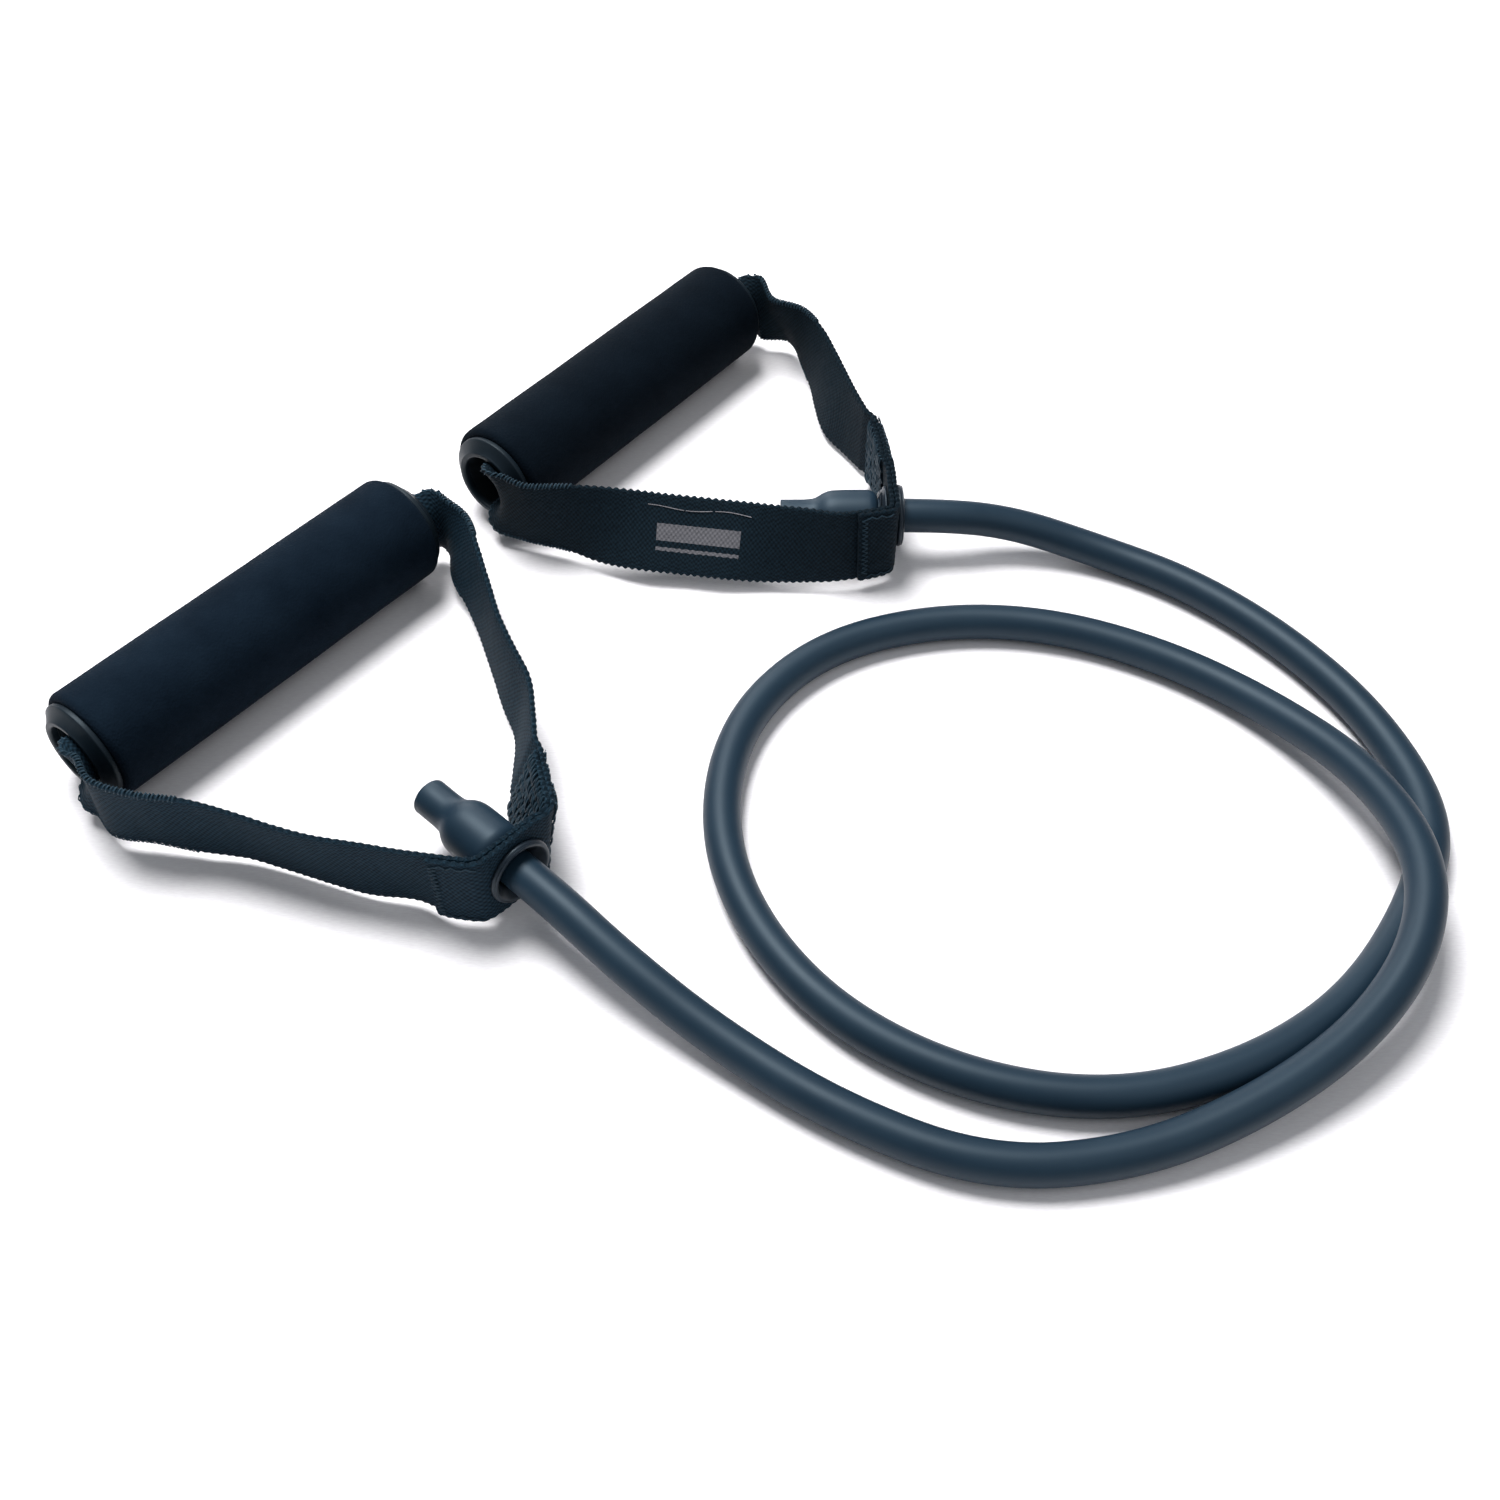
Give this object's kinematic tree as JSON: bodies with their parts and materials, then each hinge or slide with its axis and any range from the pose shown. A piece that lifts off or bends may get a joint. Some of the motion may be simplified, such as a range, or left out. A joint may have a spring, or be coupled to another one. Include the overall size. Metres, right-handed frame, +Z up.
{
  "type": "resistance band",
  "caption": "Exercise tube with a stirrup handle at each end: foam grip on a core with end rings, webbing loop through it, and an eyelet that holds the plugged tube end.",
  "frame": {"origin": "on the floor, under the centre of the box that holds the two handles", "axes": "+Z up from the floor; +X from the handles towards the tube's loop; +Y from the front handle towards the back one"},
  "size_m": [0.4022, 0.3638, 0.0356],
  "materials": {
    "tube_rubber": "satin, slightly dusty blue-grey elastic rubber",
    "grip_foam": "matte closed-cell foam with a faint pore grain",
    "webbing": "close ribbed polyester webbing with a soft sheen",
    "thread": "dull sewing thread",
    "flange_plastic": "satin moulded plastic",
    "core_plastic": "plain moulded plastic",
    "eyelet_plastic": "satin moulded plastic"
  },
  "bodies": {
    "band": {"band_tube": "tube_rubber", "front_tube_end": "tube_rubber", "front_tube_plug": "core_plastic", "back_tube_end": "tube_rubber", "back_tube_plug": "core_plastic"},
    "front_strap": {"front_webbing_strap": "webbing", "front_stitching": "thread", "front_eyelet": "eyelet_plastic", "front_eyelet_washer": "eyelet_plastic"},
    "front_grip": {"front_core_tube": "core_plastic", "front_left_flange": "flange_plastic", "front_right_flange": "flange_plastic", "front_foam_grip": "grip_foam"},
    "back_strap": {"back_webbing_strap": "webbing", "back_stitching": "thread", "back_eyelet": "eyelet_plastic", "back_eyelet_washer": "eyelet_plastic"},
    "back_grip": {"back_core_tube": "core_plastic", "back_left_flange": "flange_plastic", "back_right_flange": "flange_plastic", "back_foam_grip": "grip_foam"}
  },
  "joints": [
    {"name": "front_swivel", "type": "hinge", "parent": "band", "child": "front_strap", "pos_m": [0.01275, -0.13087, 0.017], "axis": [0.7254, -0.6884, 0], "continuous": true},
    {"name": "front_spin", "type": "hinge", "parent": "front_strap", "child": "front_grip", "pos_m": [-0.0741, -0.0407, 0.0178], "axis": [-0.6225, -0.7826, 0], "continuous": true},
    {"name": "back_swivel", "type": "hinge", "parent": "band", "child": "back_strap", "pos_m": [0.12197, 0.01385, 0.017], "axis": [0.9998, 0.0175, 0], "range_deg": [-90, 90]},
    {"name": "back_spin", "type": "hinge", "parent": "back_strap", "child": "back_grip", "pos_m": [0.0297, 0.0815, 0.0178], "axis": [-0.6018, -0.7986, 0], "continuous": true}
  ]
}
